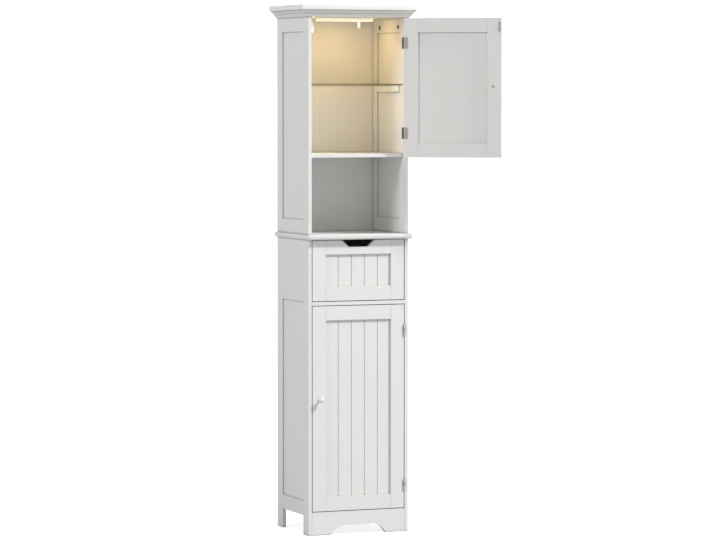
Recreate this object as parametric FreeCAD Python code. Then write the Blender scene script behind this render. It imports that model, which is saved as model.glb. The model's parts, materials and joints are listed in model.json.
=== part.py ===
import FreeCAD, Part

import math
import os

# Tall bathroom cabinet. X is the width, Y the depth with the front facing -Y, Z the height above the floor.
# The origin is on the floor, midway between the sides and midway in the depth of the carcass.
# Sizes are in millimetres, angles in degrees.

# Carcass
body_width = 345.0
body_depth = 282.0
board_thickness = 12.0
stile_width = 46.0
rail_width = 46.0
corner_round = 1.5

# Heights, from the floor up. The upper cupboard takes what is left of the whole height.
height = 1700.0
plinth_height = 75.0
lower_opening = 664.0
drawer_opening = 199.0
ledge_thickness = 16.0
niche_opening = 246.0
moulding_height = 23.0
top_thickness = 16.0

# Side frames
side_foot_height = 62.0
side_drawer_rail = 200.0
side_panel_thickness = 4.0
side_groove_depth = 8.0

# Arched apron
apron_thickness = 16.0
arch_foot_width = 66.0
arch_rise = 31.0
arch_span = 52.0

# Ledge, top board and moulding
ledge_side_overhang = 9.0
ledge_front_overhang = 19.0
ledge_top_round = 2.5
ledge_lower_round = 7.0
ledge_corner = 8.0
top_side_overhang = 27.5
top_front_overhang = 18.0
top_round = 2.0
top_bevel = 1.0
moulding_projection = 22.0
moulding_fillet = 3.0
cove_height = 13.0
bead_projection = 9.5
bead_quirk = 1.2

# Back panels
back_thickness = 4.0
back_inset = 6.0
back_groove_depth = 4.0

# Doors and drawer front
front_thickness = 16.0
front_panel_thickness = 4.0
front_groove_depth = 8.0
front_recess = 6.0
front_bevel = 0.8
reveal = 2.0
bead_boards = 5
bead_width = 3.2
bead_depth = 2.3
upper_door_open = 145.6

# Hinges
hinge_height = 36.0
hinge_segments = 3
leaf_thickness = 0.7
leaf_gap = 0.3
leaf_wrap = 13.0
frame_leaf_width = 16.0
knuckle_radius = 3.0
knuckle_gap = 0.2
pin_radius = 1.4
pin_clearance = 0.06
pin_proud = 0.6
upper_hinge_inset = 77.5
upper_top_hinge_inset = 79.5
lower_hinge_inset = 77.0
lower_top_hinge_inset = 82.5

# Knobs
knob_edge_inset = 26.0
upper_knob_rise = 228.0
lower_knob_rise = 360.3
knob_radius = 9.0
knob_length = 22.0
knob_neck_radius = 4.5
knob_rim = 4.0
knob_dome = 6.0
knob_dome_steps = 2
screw_radius = 2.0
screw_head_radius = 4.0
screw_head_height = 2.0
screw_depth = 12.0
screw_clearance = 0.1

# Magnetic catches
catch_height = 35.0
catch_width = 14.3
catch_depth = 14.0
catch_drop = 31.5
catch_round = 2.0
pole_width = 3.5
pole_height = 29.0
pole_depth = 5.0
pole_proud = 1.0
strike_drop = 28.5
strike_width = 9.0
strike_height = 30.0
strike_thickness = 1.0
strike_edge_gap = 1.0
catch_clearance = 0.4

# Shelves
shelf_setback = 2.0
glass_thickness = 4.5
glass_bevel = 0.8
glass_side_clearance = 1.0
glass_back_clearance = 2.0
glass_setback = 2.0
glass_shelf_offset = 0.5
lower_shelf_rise = 325.0
cleat_height = 20.5
cleat_projection = 5.0
cleat_lap = 5.0
cleat_end_clearance = 0.5
cleat_chamfer = 1.0

# Cam lock holes in the top rails of the upper sides
cam_radius = 7.5
cam_depth = 9.0
cam_drop = 29.0
cam_front_inset = 56.5
cam_rear_inset = 67.5

# Drawer box
drawer_side_thickness = 12.0
drawer_side_height = 140.0
drawer_back_gap = 28.0
drawer_side_clearance = 2.0
drawer_floor_gap = 14.0
drawer_bottom_thickness = 4.0
drawer_bottom_rise = 8.0
drawer_bottom_groove = 6.0
runner_height = 12.0
runner_groove_depth = 6.0
runner_clearance = 0.3
runner_front_setback = 4.0
runner_back_gap = 6.0
cutout_top_width = 114.0
cutout_bottom_width = 66.0
cutout_depth = 22.0
cutout_round = 5.0

# Lamp bar
lamp_length = 202.5
lamp_depth = 22.0
lamp_height = 11.5
lamp_center_x = -3.0
lamp_center_y = -17.0
lamp_base_thickness = 1.5
lamp_cap_thickness = 1.5
lamp_round = 5.0
switch_x = 46.0
switch_width = 8.0
switch_thickness = 3.0
switch_bottom_drop = 33.0
switch_pivot_drop = 6.0
switch_gap = 0.3
switch_lug_depth = 2.0
switch_pin_radius = 1.5
switch_pin_clearance = 0.06

# Levels and planes that follow from the sizes above
side_x = body_width / 2
inner_x = side_x - board_thickness
front_y = -body_depth / 2
rear_y = body_depth / 2
front_back_y = front_y + front_thickness
back_y = rear_y - back_inset - back_thickness
side_recess = (board_thickness - side_panel_thickness) / 2
divider_z = plinth_height + lower_opening
drawer_z = divider_z + board_thickness
ledge_z = drawer_z + drawer_opening
niche_z = ledge_z + ledge_thickness
niche_top_z = niche_z + niche_opening
upper_z = niche_top_z + board_thickness
top_z = height - top_thickness
ceiling_z = top_z - moulding_height

# Hinge axis: in the middle of the gap between the leaves, just in front of the carcass
hinge_gap = 2 * leaf_thickness + leaf_gap
axis_x = inner_x - leaf_thickness - leaf_gap / 2
axis_y = front_y - knuckle_radius - knuckle_gap

# Outlines of the doors and of the drawer front
door_left = -inner_x + reveal
door_right = inner_x - hinge_gap
lower_door_z = (plinth_height + reveal, divider_z - reveal)
upper_door_z = (niche_top_z, ceiling_z - reveal)
drawer_front_z = (drawer_z + reveal, ledge_z - reveal)
drawer_front_right = inner_x - reveal
knob_x = door_left + knob_edge_inset


def vector(x, y, z):
    return FreeCAD.Vector(x, y, z)


def block(x, y, z):
    size = [end - start for start, end in (x, y, z)]
    return Part.makeBox(*size, vector(x[0], y[0], z[0]))


def mirrored(shape):
    return shape.mirror(vector(0, 0, 0), vector(1, 0, 0))


def group(*solids):
    return Part.Compound(list(solids))


def save(name, shape):
    shape.exportStep(f"parts/{name}.step")


def moved(shape, x, y, z):
    return shape.translated(vector(x, y, z))


def prism(points, direction):
    """Extrudes a closed outline of straight lines."""
    wire = Part.makePolygon(points + points[:1])
    return Part.Face(wire).extrude(direction)


def line(start, end):
    return Part.LineSegment(start, end).toShape()


def arc(start, middle, end):
    return Part.Arc(start, middle, end).toShape()


def face_of(edges):
    return Part.Face(Part.Wire(Part.__sortEdges__(edges)))


def edges_where(shape, test):
    """Edges whose two end points both pass the test."""
    return [e for e in shape.Edges if len(e.Vertexes) == 2 and all(test(v.Point) for v in e.Vertexes)]


def close(a, b):
    return abs(a - b) < 1e-6


# Frame-and-panel work. A frame stands in its own space: x runs across it from 0 to its width,
# y from its outer face at 0 to its thickness, and z is the real height.


def frame_and_panel(width, posts, bottom_rail, top_rail, sizes, blank):
    """Stiles with a groove, rails with tongues in that groove, and a panel held in the groove all round.

    The pairs are heights from and to, and sizes holds the stile width, thickness, panel thickness,
    depth of the groove and depth of the panel behind the outer face. Each stick is cut from the blank,
    which carries the rounded outer edges.
    """
    stile, thickness, panel, groove, recess = sizes
    slot_y = (recess, recess + panel)
    full_y = (0, thickness)
    left_edge = stile
    right_edge = width - stile

    left_groove = block((left_edge - groove, left_edge), slot_y, (bottom_rail[0], top_rail[1]))
    right_groove = block((right_edge, right_edge + groove), slot_y, (bottom_rail[0], top_rail[1]))
    left = block((0, left_edge), full_y, posts).cut(left_groove)
    right = block((right_edge, width), full_y, posts).cut(right_groove)

    tongue_x = (left_edge - groove, right_edge + groove)
    panel_z = (bottom_rail[1] - groove, top_rail[0] + groove)
    rails = []
    for low, high in (bottom_rail, top_rail):
        rail = block((left_edge, right_edge), full_y, (low, high))
        rail = rail.fuse(block(tongue_x, slot_y, (low, high)))
        rails.append(rail.cut(block(tongue_x, slot_y, panel_z)).removeSplitter())

    return {
        "left": left.common(blank),
        "right": right.common(blank),
        "bottom": rails[0].common(blank),
        "top": rails[1].common(blank),
        "panel": block(tongue_x, slot_y, panel_z),
    }


def side_frame(posts, bottom_rail, top_rail):
    """The right side: outer face at the full width, front stile first."""
    blank = block((0, body_depth), (0, board_thickness), posts)
    front_edge = edges_where(blank, lambda p: close(p.x, 0) and close(p.y, 0))
    blank = blank.makeFillet(corner_round, front_edge)
    sizes = (stile_width, board_thickness, side_panel_thickness, side_groove_depth, side_recess)
    pieces = frame_and_panel(body_depth, posts, bottom_rail, top_rail, sizes, blank)

    placed = {}
    for name, piece in pieces.items():
        turned = piece.rotated(vector(0, 0, 0), vector(0, 0, 1), 90)
        placed[name] = moved(turned, side_x, front_y, 0)
    return placed


def back_groove(z):
    """Groove for a back panel on the inner face of a rear stile."""
    return block((inner_x, inner_x + back_groove_depth), (back_y, back_y + back_thickness), z)


def save_side(level, pieces):
    for side, place in (("right", lambda shape: shape), ("left", mirrored)):
        name = f"{level}_{side}"
        save(f"{name}_front_stile", place(pieces["left"]))
        save(f"{name}_rear_stile", place(pieces["right"]))
        save(f"{name}_rails", group(place(pieces["bottom"]), place(pieces["top"])))
        save(f"{name}_panel", place(pieces["panel"]))


def make_lower_sides():
    bottom_rail = (side_foot_height, side_foot_height + rail_width)
    top_rail = (ledge_z - side_drawer_rail, ledge_z)
    pieces = side_frame((0, ledge_z), bottom_rail, top_rail)
    groove_z = (plinth_height - board_thickness, ledge_z)
    pieces["right"] = pieces["right"].cut(back_groove(groove_z))
    save_side("lower", pieces)


def make_upper_sides():
    bottom_rail = (niche_z, niche_z + rail_width)
    top_rail = (ceiling_z - rail_width, ceiling_z)
    pieces = side_frame((niche_z, ceiling_z), bottom_rail, top_rail)
    pieces["right"] = pieces["right"].cut(back_groove((niche_z, ceiling_z)))
    for y in (front_y + cam_front_inset, rear_y - cam_rear_inset):
        seat = vector(inner_x, y, ceiling_z - cam_drop)
        hole = Part.makeCylinder(cam_radius, cam_depth, seat, vector(1, 0, 0))
        pieces["top"] = pieces["top"].cut(hole)
    save_side("upper", pieces)


# Carcass boards


def make_apron():
    """Front board under the doors, with a flat-topped arch between two feet."""
    foot_x = inner_x - arch_foot_width
    flat_x = foot_x - arch_span
    radius = (arch_span**2 + arch_rise**2) / (2 * arch_rise)
    turn = math.asin(arch_span / radius) / 2
    middle_x = flat_x + radius * math.sin(turn)
    middle_z = arch_rise - radius * (1 - math.cos(turn))

    def at(x, z):
        return vector(x, front_y, z)

    def bow(side):
        return arc(at(side * foot_x, 0), at(side * middle_x, middle_z), at(side * flat_x, arch_rise))

    outline = [
        line(at(-inner_x, 0), at(-foot_x, 0)),
        bow(-1),
        line(at(-flat_x, arch_rise), at(flat_x, arch_rise)),
        bow(1),
        line(at(foot_x, 0), at(inner_x, 0)),
        line(at(inner_x, 0), at(inner_x, plinth_height)),
        line(at(inner_x, plinth_height), at(-inner_x, plinth_height)),
        line(at(-inner_x, plinth_height), at(-inner_x, 0)),
    ]
    save("apron", face_of(outline).extrude(vector(0, apron_thickness, 0)))


def make_boards():
    between = (-inner_x, inner_x)
    bottom_z = (plinth_height - board_thickness, plinth_height)
    save("bottom_board", block(between, (front_y + apron_thickness, back_y), bottom_z))
    save("divider_board", block(between, (front_y, back_y), (divider_z, drawer_z)))
    niche_board_y = (front_back_y + shelf_setback, back_y)
    save("niche_board", block(between, niche_board_y, (niche_top_z, upper_z)))
    save("ceiling_board", block((-side_x, side_x), (front_y, rear_y), (ceiling_z, top_z)))

    back_x = (-inner_x - back_groove_depth, inner_x + back_groove_depth)
    back_span = (back_y, back_y + back_thickness)
    save("lower_back_panel", block(back_x, back_span, (bottom_z[0], ledge_z)))
    save("upper_back_panel", block(back_x, back_span, (niche_z, ceiling_z)))


def make_ledge():
    """Moulded board between the lower and upper halves, rounded on its front and its ends."""
    half = side_x + ledge_side_overhang
    edge_y = front_y - ledge_front_overhang
    board = block((-half, half), (edge_y, rear_y), (ledge_z, niche_z))
    board = board.makeFillet(ledge_corner, front_corners(board, edge_y, ledge_thickness))
    for level, radius in ((ledge_z, ledge_lower_round), (niche_z, ledge_top_round)):
        board = board.makeFillet(radius, [e for e in board.Edges if on_rim(e, level, rear_y)])
    save("ledge", board)


def front_corners(board, edge_y, thickness):
    """The two upright edges at the front of a board."""
    return [e for e in edges_where(board, lambda p: close(p.y, edge_y)) if close(e.Length, thickness)]


def on_rim(edge, level, rear):
    """True for the edges round the face of a board at that level, apart from the one at its rear."""
    box = edge.BoundBox
    flat = close(box.ZMin, level) and close(box.ZMax, level)
    return flat and not (close(box.YMin, rear) and close(box.YMax, rear))


def make_top_board():
    half = side_x + top_side_overhang
    edge_y = front_y - top_front_overhang
    board = block((-half, half), (edge_y, rear_y), (top_z, height))
    board = board.makeFillet(top_round, front_corners(board, edge_y, top_thickness))
    for level in (top_z, height):
        board = board.makeChamfer(top_bevel, [e for e in board.Edges if on_rim(e, level, rear_y)])
    save("top_board", board)


def moulding_face(across, start, spread):
    """Section of the cove moulding: fillet, cove and bead, with its back on the carcass.

    Across points outwards from the carcass, and spread stretches the projection.
    """
    half_turn = math.sqrt(0.5)
    cove_width = moulding_projection - bead_projection
    cove_end = moulding_fillet + cove_height
    bead_top = cove_end + bead_quirk
    bead_radius = moulding_height - bead_top
    foot = bead_projection - bead_radius

    def at(out, drop):
        return start + across * (out * spread) - vector(0, 0, drop)

    cove_middle = at(moulding_projection - half_turn * cove_width, cove_end - half_turn * cove_height)
    bead_middle = at(foot + half_turn * bead_radius, bead_top + half_turn * bead_radius)
    return face_of(
        [
            line(at(0, 0), at(moulding_projection, 0)),
            line(at(moulding_projection, 0), at(moulding_projection, moulding_fillet)),
            arc(at(moulding_projection, moulding_fillet), cove_middle, at(bead_projection, cove_end)),
            line(at(bead_projection, cove_end), at(bead_projection, bead_top)),
            arc(at(bead_projection, bead_top), bead_middle, at(foot, moulding_height)),
            line(at(foot, moulding_height), at(0, moulding_height)),
            line(at(0, moulding_height), at(0, 0)),
        ]
    )


def make_mouldings():
    """Front strip and two side strips, mitred where they meet at the front corners."""
    front_spread = top_front_overhang / top_side_overhang
    out_x = side_x + top_side_overhang
    out_y = front_y - top_front_overhang
    rise = vector(0, 0, moulding_height)

    front_face = moulding_face(vector(0, -1, 0), vector(-out_x, front_y, top_z), front_spread)
    front_strip = front_face.extrude(vector(2 * out_x, 0, 0))
    front_plan = [
        vector(-side_x, front_y, ceiling_z),
        vector(side_x, front_y, ceiling_z),
        vector(out_x, out_y, ceiling_z),
        vector(-out_x, out_y, ceiling_z),
    ]
    save("front_moulding", front_strip.common(prism(front_plan, rise)))

    side_face = moulding_face(vector(1, 0, 0), vector(side_x, out_y, top_z), 1.0)
    side_strip = side_face.extrude(vector(0, rear_y - out_y, 0))
    side_plan = [
        vector(side_x, rear_y, ceiling_z),
        vector(side_x, front_y, ceiling_z),
        vector(out_x, out_y, ceiling_z),
        vector(out_x, rear_y, ceiling_z),
    ]
    right = side_strip.common(prism(side_plan, rise))
    save("side_mouldings", group(mirrored(right), right))


# Shelves


def cleat(top):
    """Shelf support that laps onto the stiles of a side and fills the recess between them."""
    edge_x = inner_x - cleat_projection
    recess_end = body_depth / 2 - stile_width
    reach = recess_end + cleat_lap
    span_z = (top - cleat_height, top)
    bar = block((edge_x, inner_x), (-reach, reach), span_z)
    lower_edge = edges_where(bar, lambda p: close(p.x, edge_x) and close(p.z, span_z[0]))
    bar = bar.makeChamfer(cleat_chamfer, lower_edge)
    filler_y = (cleat_end_clearance - recess_end, recess_end - cleat_end_clearance)
    filler = block((inner_x, inner_x + side_recess), filler_y, span_z)
    return bar.fuse(filler).removeSplitter()


def make_shelves():
    # The glass shelf lies at about half the height of the upper cupboard
    glass_z = (upper_z + ceiling_z) / 2 + glass_shelf_offset
    shelf_z = plinth_height + lower_shelf_rise
    half = inner_x - glass_side_clearance
    glass_y = (front_back_y + glass_setback, back_y - glass_back_clearance)
    glass = block((-half, half), glass_y, (glass_z, glass_z + glass_thickness))
    save("glass_shelf", glass.makeChamfer(glass_bevel, glass.Edges))

    shelf = block((-half, half), glass_y, (shelf_z, shelf_z + board_thickness))
    save("lower_shelf", shelf)

    cleats = []
    for top in (glass_z, shelf_z):
        right = cleat(top)
        cleats += [mirrored(right), right]
    save("shelf_cleats", group(*cleats))


# Doors and drawer front. They are built closed, and the upper door is then swung open.


def swing(shape):
    return shape.rotated(vector(axis_x, axis_y, 0), vector(0, 0, 1), upper_door_open)


def front_frame(right, z):
    """Frame and boarded panel of a door or of the drawer, placed in its opening."""
    width = right - door_left
    blank = block((0, width), (0, front_thickness), z)
    blank = blank.makeChamfer(front_bevel, edges_where(blank, lambda p: close(p.y, 0)))
    sizes = (stile_width, front_thickness, front_panel_thickness, front_groove_depth, front_recess)
    bottom_rail = (z[0], z[0] + rail_width)
    top_rail = (z[1] - rail_width, z[1])
    pieces = frame_and_panel(width, z, bottom_rail, top_rail, sizes, blank)

    pitch = (width - 2 * stile_width) / bead_boards
    panel = pieces["panel"]
    box = panel.BoundBox
    for n in range(1, bead_boards):
        x = stile_width + n * pitch
        section = [
            vector(x - bead_width / 2, front_recess, box.ZMin),
            vector(x + bead_width / 2, front_recess, box.ZMin),
            vector(x, front_recess + bead_depth, box.ZMin),
        ]
        panel = panel.cut(prism(section, vector(0, 0, box.ZLength)))
    pieces["panel"] = panel
    return {name: moved(piece, door_left, front_y, 0) for name, piece in pieces.items()}


def knob(z):
    """Turned knob, its neck on the front face, with a blind hole for its screw."""
    rim_out = knob_length - knob_dome

    def at(r, out):
        return vector(r, -out, 0)

    outline = [
        at(0, 0),
        at(knob_neck_radius, 0),
        at(knob_neck_radius, rim_out - knob_rim),
        at(knob_radius, rim_out - knob_rim),
    ]
    for n in range(knob_dome_steps + 1):
        turn = math.pi / 2 * n / knob_dome_steps
        outline.append(at(knob_radius * math.cos(turn), rim_out + knob_dome * math.sin(turn)))
    outline.append(at(0, 0))
    wire = Part.makePolygon(outline)
    body = Part.Face(wire).revolve(vector(0, 0, 0), vector(0, 1, 0), 360)
    hole = Part.makeCylinder(screw_radius + screw_clearance, screw_depth, vector(0, 0, 0), vector(0, -1, 0))
    return moved(body.cut(hole), knob_x, front_y, z)


def knob_screw(z):
    """Screw from the back of the knob stile, with a pan head on the inner face."""
    shank_length = front_thickness + screw_depth - screw_clearance
    shank = Part.makeCylinder(screw_radius, shank_length, vector(0, 0, 0), vector(0, -1, 0))
    head = Part.makeCylinder(screw_head_radius, screw_head_height, vector(0, 0, 0), vector(0, 1, 0))
    return moved(shank.fuse(head), knob_x, front_back_y, z)


def knob_hole(z):
    start = vector(knob_x, front_y, z)
    return Part.makeCylinder(screw_radius + screw_clearance, front_thickness, start, vector(0, 1, 0))


def strike(top):
    """Steel plate on the inner face of a door, opposite the catch."""
    x = door_left + strike_edge_gap
    z = top - strike_drop
    span_y = (front_back_y, front_back_y + strike_thickness)
    return block((x, x + strike_width), span_y, (z - strike_height / 2, z + strike_height / 2))


def catch(top):
    """Magnetic catch on the left side, returned as its body and its pole plate."""
    z = top - catch_drop
    pole_x = door_left + strike_edge_gap
    pole_y = front_back_y + strike_thickness + catch_clearance
    body_y = pole_y + pole_proud
    span_z = (z - catch_height / 2, z + catch_height / 2)
    body = block((-inner_x, -inner_x + catch_width), (body_y, body_y + catch_depth), span_z)
    round_edges = edges_where(body, lambda p: close(p.x, -inner_x + catch_width))
    body = body.makeFillet(catch_round, round_edges)
    pole_z = (z - pole_height / 2, z + pole_height / 2)
    pole = block((pole_x, pole_x + pole_width), (pole_y, pole_y + pole_depth), pole_z)
    return body.cut(pole), pole


# Hinges


def knuckles(bottom, picks):
    """Barrel segments of one leaf, with a small gap to the segments of the other leaf."""
    step = hinge_height / hinge_segments
    tubes = []
    for n in picks:
        start = bottom + n * step + knuckle_gap / 2
        tubes.append(Part.makeCylinder(knuckle_radius, step - knuckle_gap, vector(axis_x, axis_y, start)))
    return tubes


def hinge_leaf(plates, picks, bottom, plate_x):
    """Fuses a leaf's plates with its knuckles and the tabs that reach them, and bores them for the pin."""
    leaf = plates[0].multiFuse(plates[1:]) if len(plates) > 1 else plates[0]
    for tube in knuckles(bottom, picks):
        box = tube.BoundBox
        tab = block(plate_x, (axis_y, front_y), (box.ZMin, box.ZMax))
        leaf = leaf.fuse(tube).fuse(tab)
    bore = Part.makeCylinder(pin_radius + pin_clearance, hinge_height, vector(axis_x, axis_y, bottom))
    return leaf.cut(bore).removeSplitter()


def hinge(center):
    """One butt hinge in the closed position: its frame leaf, door leaf and pin."""
    bottom = center - hinge_height / 2
    span = (bottom, bottom + hinge_height)
    frame_x = (inner_x - leaf_thickness, inner_x)
    frame_plate = block(frame_x, (front_y, front_y + frame_leaf_width), span)
    frame_leaf = hinge_leaf([frame_plate], range(0, hinge_segments, 2), bottom, frame_x)

    door_x = (door_right, door_right + leaf_thickness)
    wrap_y = (front_back_y, front_back_y + leaf_thickness)
    edge_plate = block(door_x, (front_y, wrap_y[1]), span)
    wrap_plate = block((door_right - leaf_wrap, door_x[1]), wrap_y, span)
    door_leaf = hinge_leaf([edge_plate, wrap_plate], range(1, hinge_segments, 2), bottom, door_x)

    pin_length = hinge_height + 2 * pin_proud
    pin = Part.makeCylinder(pin_radius, pin_length, vector(axis_x, axis_y, bottom - pin_proud))
    return frame_leaf, door_leaf, pin


def save_door(level, z, knob_rise, hinges, place):
    pieces = front_frame(door_right, z)
    knob_z = z[0] + knob_rise
    knob_stile = pieces["left"].cut(knob_hole(knob_z))
    save(f"{level}_door_knob_stile", place(knob_stile))
    save(f"{level}_door_hinge_stile", place(pieces["right"]))
    save(f"{level}_door_rails", place(group(pieces["bottom"], pieces["top"])))
    save(f"{level}_door_panel", place(pieces["panel"]))
    save(f"{level}_hinge_leaves", place(group(*[leaf for _, leaf, _ in hinges])))
    save(f"{level}_knob", place(knob(knob_z)))
    save(f"{level}_knob_screw", place(knob_screw(knob_z)))
    save(f"{level}_strike", place(strike(z[1])))


def make_doors():
    lower_centers = (lower_door_z[0] + lower_hinge_inset, lower_door_z[1] - lower_top_hinge_inset)
    upper_centers = (upper_door_z[0] + upper_hinge_inset, upper_door_z[1] - upper_top_hinge_inset)
    lower_hinges = [hinge(z) for z in lower_centers]
    upper_hinges = [hinge(z) for z in upper_centers]
    save_door("lower", lower_door_z, lower_knob_rise, lower_hinges, lambda shape: shape)
    save_door("upper", upper_door_z, upper_knob_rise, upper_hinges, swing)

    hinges = lower_hinges + upper_hinges
    save("hinge_frame_leaves", group(*[leaf for leaf, _, _ in hinges]))
    save("hinge_pins", group(*[pin for _, _, pin in hinges]))

    catches = [catch(lower_door_z[1]), catch(upper_door_z[1])]
    save("catch_bodies", group(*[body for body, _ in catches]))
    save("catch_poles", group(*[pole for _, pole in catches]))


# Drawer


def finger_cutout():
    """Notch in the top edge of the drawer front, narrower at its rounded bottom."""
    top = drawer_front_z[1]
    bottom = top - cutout_depth
    points = [
        vector(-cutout_top_width / 2, front_y, top),
        vector(-cutout_bottom_width / 2, front_y, bottom),
        vector(cutout_bottom_width / 2, front_y, bottom),
        vector(cutout_top_width / 2, front_y, top),
    ]
    notch = prism(points, vector(0, front_thickness, 0))
    corners = edges_where(notch, lambda p: close(p.z, bottom))
    return notch.makeFillet(cutout_round, [e for e in corners if close(e.Length, front_thickness)])


def make_drawer():
    front = front_frame(drawer_front_right, drawer_front_z)
    save("drawer_front_stiles", group(front["left"], front["right"]))
    save("drawer_front_rails", group(front["bottom"], front["top"].cut(finger_cutout())))
    save("drawer_front_panel", front["panel"])

    outer_x = inner_x - drawer_side_clearance
    wall_x = outer_x - drawer_side_thickness
    low = drawer_z + drawer_floor_gap
    box_z = (low, low + drawer_side_height)
    end_y = back_y - drawer_back_gap
    floor_z = (low + drawer_bottom_rise, low + drawer_bottom_rise + drawer_bottom_thickness)
    floor_x = wall_x + drawer_bottom_groove
    floor = block((-floor_x, floor_x), (front_back_y, end_y), floor_z)

    runner_z = low + drawer_side_height / 2
    half_groove = runner_height / 2 + runner_clearance
    groove_x = outer_x - runner_groove_depth
    groove_z = (runner_z - half_groove, runner_z + half_groove)
    groove = block((groove_x, outer_x), (front_back_y, end_y), groove_z)
    side = block((wall_x, outer_x), (front_back_y, end_y), box_z).cut(groove).cut(floor)
    save("drawer_sides", group(mirrored(side), side))
    back = block((-wall_x, wall_x), (end_y - drawer_side_thickness, end_y), (floor_z[1], box_z[1]))
    save("drawer_back", back)
    save("drawer_bottom", floor)

    runner_x = (groove_x + runner_clearance, inner_x)
    runner_y = (front_back_y + runner_front_setback, back_y - runner_back_gap)
    runner = block(runner_x, runner_y, (runner_z - runner_height / 2, runner_z + runner_height / 2))
    save("drawer_runners", group(mirrored(runner), runner))


# Lamp bar under the ceiling


def lamp_section(x, length, drop):
    """Bar section with its two lower edges rounded, hung from the given drop below the ceiling."""
    y = (lamp_center_y - lamp_depth / 2, lamp_center_y + lamp_depth / 2)
    bar = block((x, x + length), y, (ceiling_z - lamp_height, ceiling_z - drop))
    lower = edges_where(bar, lambda p: close(p.z, ceiling_z - lamp_height))
    return bar.makeFillet(lamp_round, [e for e in lower if close(e.Length, length)])


def make_lamp():
    start = lamp_center_x - lamp_length / 2
    end = start + lamp_length
    lens_length = lamp_length - 2 * lamp_cap_thickness
    lamp_front = lamp_center_y - lamp_depth / 2
    base_z = (ceiling_z - lamp_base_thickness, ceiling_z)
    base = block((start, end), (lamp_front, lamp_front + lamp_depth), base_z)
    caps = [lamp_section(x, lamp_cap_thickness, 0) for x in (start, end - lamp_cap_thickness)]

    # The switch hangs on a pin in front of the bar
    pivot_z = ceiling_z - switch_pivot_drop
    lug_y = (lamp_front - switch_lug_depth, lamp_front)
    lug_z = (pivot_z - switch_width / 2, ceiling_z)
    lug = block((switch_x - switch_width / 2, switch_x + switch_width / 2), lug_y, lug_z)
    tab_front = lug_y[0] - switch_gap - switch_thickness
    pin_start = vector(switch_x, lug_y[0], pivot_z)
    pin = Part.makeCylinder(switch_pin_radius, switch_gap + switch_thickness, pin_start, vector(0, -1, 0))
    save("lamp_housing", base.multiFuse(caps + [lug, pin]).removeSplitter())
    save("lamp_diffuser", lamp_section(start + lamp_cap_thickness, lens_length, lamp_base_thickness))
    save("lamp_switch", switch_tab(tab_front, pivot_z))


def switch_tab(tab_front, pivot_z):
    """Flat tab with round ends, bored for the pin at its upper end."""
    radius = switch_width / 2
    low_z = ceiling_z - switch_bottom_drop + radius
    along = vector(0, 1, 0)
    span_y = (tab_front, tab_front + switch_thickness)
    tab = block((switch_x - radius, switch_x + radius), span_y, (low_z, pivot_z))
    for z in (low_z, pivot_z):
        tab = tab.fuse(Part.makeCylinder(radius, switch_thickness, vector(switch_x, tab_front, z), along))
    bore_start = vector(switch_x, tab_front, pivot_z)
    bore = Part.makeCylinder(switch_pin_radius + switch_pin_clearance, switch_thickness, bore_start, along)
    return tab.cut(bore).removeSplitter()


os.makedirs("parts", exist_ok=True)
make_lower_sides()
make_upper_sides()
make_apron()
make_boards()
make_ledge()
make_top_board()
make_mouldings()
make_shelves()
make_doors()
make_drawer()
make_lamp()
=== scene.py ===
import json
import math

import bmesh
import bpy
from mathutils import Matrix, Vector


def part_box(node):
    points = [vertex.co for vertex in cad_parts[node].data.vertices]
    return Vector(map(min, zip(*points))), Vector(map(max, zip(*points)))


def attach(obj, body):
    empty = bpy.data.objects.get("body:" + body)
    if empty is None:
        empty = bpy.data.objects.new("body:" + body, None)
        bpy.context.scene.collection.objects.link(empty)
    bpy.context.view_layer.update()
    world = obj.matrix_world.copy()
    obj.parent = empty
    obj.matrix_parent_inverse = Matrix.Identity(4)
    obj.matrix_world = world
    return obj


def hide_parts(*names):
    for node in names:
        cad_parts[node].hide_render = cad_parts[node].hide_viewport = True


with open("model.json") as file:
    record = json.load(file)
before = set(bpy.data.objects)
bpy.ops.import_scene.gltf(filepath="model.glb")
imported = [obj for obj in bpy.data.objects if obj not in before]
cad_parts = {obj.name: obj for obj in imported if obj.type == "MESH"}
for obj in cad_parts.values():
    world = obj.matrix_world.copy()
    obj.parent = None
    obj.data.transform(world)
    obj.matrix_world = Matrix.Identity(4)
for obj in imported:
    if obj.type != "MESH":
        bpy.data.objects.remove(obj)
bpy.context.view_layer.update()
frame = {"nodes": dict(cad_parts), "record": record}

cadNodes = frame["nodes"]
subparts = frame["record"]["subparts"]
tolerance = 1e-6  # in metres
print("cabinet frame loaded,", len(cadNodes), "nodes")


# Camera, studio and lights

photoView = {
    "place": (-3.9536, -10.0065, 1.4137),
    "yaw": 21.83,
    "pitch": 3.03,
    "lens": 166.62,
    "sensor": 36.0,
    "farthest": 200.0,
}
studio = {
    "floorRadius": 20.0,
    "floorSides": 96,
    "rimHeight": 9.0,
    "rimRound": 3.0,
    "rimSteps": 10,
    "tone": 0.46,
    "roughness": 0.9,
    "specular": 0.1,
    "spread": (1.0, 12.0),     # from the object, where the glow starts and ends its change
    "glow": (0.07, 0.28),      # near and far
    "seenGlow": (0.72, 0.66),  # added to it where the camera sees the paper
}
lightRig = {
    "sky": 0.34,
    "aim": (0.0, 0.0, 0.9),
    "key": {"toward": (1.6, -1.25, 1.9), "distance": 12.0, "size": 1.4, "power": 1260.0},
    "fill": {"toward": (-1.7, -0.5, 1.0), "distance": 10.0, "size": 2.6, "power": 292.0},
}


def addCamera():
    turn = (math.radians(90 - photoView["pitch"]), 0, math.radians(-photoView["yaw"]))
    bpy.ops.object.camera_add(location=photoView["place"], rotation=turn)
    camera = bpy.context.object
    camera.name = "photoCamera"
    camera.data.sensor_width = photoView["sensor"]
    camera.data.lens = photoView["lens"]
    camera.data.clip_end = photoView["farthest"]
    bpy.context.scene.camera = camera


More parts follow.
